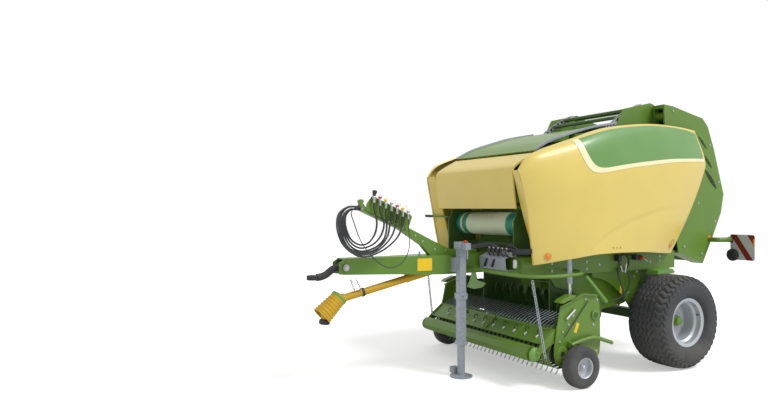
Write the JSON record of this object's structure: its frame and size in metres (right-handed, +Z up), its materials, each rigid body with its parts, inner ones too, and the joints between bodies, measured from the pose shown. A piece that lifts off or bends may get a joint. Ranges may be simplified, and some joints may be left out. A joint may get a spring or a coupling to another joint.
{
  "type": "round baler",
  "caption": "Towed round baler with tine pickup, net wrap unit, slat bale chamber, hinged rear gate, gull-wing side hoods, drawbar with hitch eye and a parking jack.",
  "frame": {"origin": "on the ground, under the middle of the overall box", "axes": "+X is the machine's left side, -Y is the direction of travel (the hitch), +Z is up"},
  "size_m": [2.59, 5.502, 3.155],
  "materials": {
    "green_paint": "gloss",
    "dark_green_paint": "semi-gloss",
    "cream_panel": "gloss",
    "galvanised": "dull zinc",
    "chrome_rod": "polished",
    "dark_iron": "black",
    "tyre": "matt",
    "guide_tyre": "matt",
    "rim": "silver paint",
    "hose": "matt",
    "guard_plastic": "moulded",
    "net": "woven net",
    "light_board": "reflective"
  },
  "bodies": {
    "chassis": {"axle": "dark_green_paint", "control_cable": "hose", "coupler_rack": "dark_iron", "drawbar": "green_paint", "drive_shaft_guard": "guard_plastic", "drive_shaft_yoke": "dark_iron", "feed_housing": "dark_green_paint", "front_bar_left": "green_paint", "front_bar_right": "green_paint", "front_chamber": "green_paint", "front_elevator": "dark_green_paint", "gearbox": "dark_iron", "hitch_eye": "dark_iron", "hose_1": "hose", "hose_2": "hose", "hose_3": "hose", "hose_4": "hose", "hose_5": "hose", "hose_6": "hose", "hose_arm": "green_paint", "hose_cover": "galvanised", "jack_tube": "galvanised", "main_frame": "green_paint", "net_cradle": "dark_green_paint", "roof_cover": "green_paint"},
    "net_roll": {"net_roll": "net"},
    "jack_leg": {"jack_leg": "galvanised"},
    "feed_rotor": {"feed_rotor": "dark_green_paint"},
    "net_hood": {"net_hood": "cream_panel"},
    "rear_gate": {"rear_gate": "green_paint", "rear_elevator": "dark_green_paint", "light_board_left": "light_board", "light_board_right": "light_board"},
    "pickup": {"pickup_frame": "green_paint"},
    "pickup_rotor": {"pickup_rotor": "dark_iron"},
    "crop_guard": {"crop_guard": "green_paint"},
    "crop_roller": {"crop_roller": "green_paint"},
    "wheel_left": {"tyre_left": "tyre", "rim_left": "rim", "hub_left": "green_paint"},
    "guide_wheel_left": {"guide_tyre_left": "guide_tyre", "guide_rim_left": "rim"},
    "hood_left": {"hood_left": "cream_panel"},
    "gate_cylinder_left": {"gate_cylinder_left": "green_paint"},
    "gate_rod_left": {"gate_rod_left": "chrome_rod"},
    "lift_cylinder_left": {"lift_cylinder_left": "galvanised"},
    "lift_rod_left": {"lift_rod_left": "chrome_rod"},
    "wheel_right": {"tyre_right": "tyre", "rim_right": "rim", "hub_right": "green_paint"},
    "guide_wheel_right": {"guide_tyre_right": "guide_tyre", "guide_rim_right": "rim"},
    "hood_right": {"hood_right": "cream_panel"},
    "gate_cylinder_right": {"gate_cylinder_right": "green_paint"},
    "gate_rod_right": {"gate_rod_right": "chrome_rod"},
    "lift_cylinder_right": {"lift_cylinder_right": "galvanised"},
    "lift_rod_right": {"lift_rod_right": "chrome_rod"}
  },
  "joints": [
    {"name": "wheel_left_spin", "type": "hinge", "parent": "chassis", "child": "wheel_left", "pos_m": [1.05, 1.416, 0.535], "axis": [1, 0, 0], "continuous": true},
    {"name": "wheel_right_spin", "type": "hinge", "parent": "chassis", "child": "wheel_right", "pos_m": [-1.05, 1.416, 0.535], "axis": [1, 0, 0], "continuous": true},
    {"name": "feed_rotor_spin", "type": "hinge", "parent": "chassis", "child": "feed_rotor", "pos_m": [0, 0.116, 0.7], "axis": [1, 0, 0], "continuous": true},
    {"name": "net_roll_spin", "type": "hinge", "parent": "chassis", "child": "net_roll", "pos_m": [0, -0.384, 1.663], "axis": [1, 0, 0], "continuous": true},
    {"name": "pickup_lift", "type": "hinge", "parent": "chassis", "child": "pickup", "pos_m": [0, 0.116, 0.7], "axis": [-1, 0, 0], "range_deg": [0, 20]},
    {"name": "pickup_rotor_spin", "type": "hinge", "parent": "pickup", "child": "pickup_rotor", "pos_m": [0, -0.354, 0.33], "axis": [1, 0, 0], "continuous": true},
    {"name": "crop_guard_lift", "type": "hinge", "parent": "pickup", "child": "crop_guard", "pos_m": [0, -0.344, 0.56], "axis": [-1, 0, 0], "range_deg": [0, 28]},
    {"name": "crop_roller_spin", "type": "hinge", "parent": "crop_guard", "child": "crop_roller", "pos_m": [0, -0.676, 0.352], "axis": [1, 0, 0], "continuous": true},
    {"name": "guide_wheel_left_spin", "type": "hinge", "parent": "pickup", "child": "guide_wheel_left", "pos_m": [1.21, -0.224, 0.215], "axis": [1, 0, 0], "continuous": true},
    {"name": "guide_wheel_right_spin", "type": "hinge", "parent": "pickup", "child": "guide_wheel_right", "pos_m": [-1.21, -0.224, 0.215], "axis": [1, 0, 0], "continuous": true},
    {"name": "rear_gate_lift", "type": "hinge", "parent": "chassis", "child": "rear_gate", "pos_m": [0, 1.676, 2.98], "axis": [1, 0, 0], "range_deg": [0, 65]},
    {"name": "net_hood_lift", "type": "hinge", "parent": "chassis", "child": "net_hood", "pos_m": [0, -0.434, 2.4], "axis": [-1, 0, 0], "range_deg": [0, 60]},
    {"name": "hood_left_lift", "type": "hinge", "parent": "chassis", "child": "hood_left", "pos_m": [0.856, 1.416, 2.78], "axis": [0, -1, 0], "range_deg": [0, 60]},
    {"name": "hood_right_lift", "type": "hinge", "parent": "chassis", "child": "hood_right", "pos_m": [-0.856, 1.416, 2.78], "axis": [0, 1, 0], "range_deg": [0, 60]},
    {"name": "jack_slide", "type": "slide", "parent": "chassis", "child": "jack_leg", "axis": [0, 0, 1], "range_m": [0, 0.3]},
    {"name": "gate_cylinder_left_swing", "type": "hinge", "parent": "chassis", "child": "gate_cylinder_left", "pos_m": [0.7, 0.656, 1.42], "axis": [1, 0, 0], "range_deg": [0, 6.33]},
    {"name": "gate_rod_left_slide", "type": "slide", "parent": "gate_cylinder_left", "child": "gate_rod_left", "axis": [0, 0.824, 0.5665], "range_m": [0, 0.7543]},
    {"name": "gate_cylinder_right_swing", "type": "hinge", "parent": "chassis", "child": "gate_cylinder_right", "pos_m": [-0.7, 0.656, 1.42], "axis": [1, 0, 0], "range_deg": [0, 6.33]},
    {"name": "gate_rod_right_slide", "type": "slide", "parent": "gate_cylinder_right", "child": "gate_rod_right", "axis": [0, 0.824, 0.5665], "range_m": [0, 0.7543]},
    {"name": "lift_cylinder_left_swing", "type": "hinge", "parent": "chassis", "child": "lift_cylinder_left", "pos_m": [0.965, -0.144, 1.4], "axis": [1, 0, 0], "range_deg": [0, 9.41]},
    {"name": "lift_rod_left_slide", "type": "slide", "parent": "lift_cylinder_left", "child": "lift_rod_left", "axis": [0, -0.0379, 0.9993], "range_m": [0, 0.0628]},
    {"name": "lift_cylinder_right_swing", "type": "hinge", "parent": "chassis", "child": "lift_cylinder_right", "pos_m": [-0.965, -0.144, 1.4], "axis": [1, 0, 0], "range_deg": [0, 9.41]},
    {"name": "lift_rod_right_slide", "type": "slide", "parent": "lift_cylinder_right", "child": "lift_rod_right", "axis": [0, -0.0379, 0.9993], "range_m": [0, 0.0628]}
  ],
  "couplings": [
    {"joint": "gate_cylinder_left_swing", "follows": "rear_gate_lift", "ratio": 0.09708},
    {"joint": "gate_rod_left_slide", "follows": "rear_gate_lift", "m_per_rad": 0.66468},
    {"joint": "gate_cylinder_right_swing", "follows": "rear_gate_lift", "ratio": 0.09708},
    {"joint": "gate_rod_right_slide", "follows": "rear_gate_lift", "m_per_rad": 0.66468},
    {"joint": "lift_cylinder_left_swing", "follows": "pickup_lift", "ratio": 0.46936},
    {"joint": "lift_rod_left_slide", "follows": "pickup_lift", "m_per_rad": 0.17948},
    {"joint": "lift_cylinder_right_swing", "follows": "pickup_lift", "ratio": 0.46936},
    {"joint": "lift_rod_right_slide", "follows": "pickup_lift", "m_per_rad": 0.17948}
  ]
}
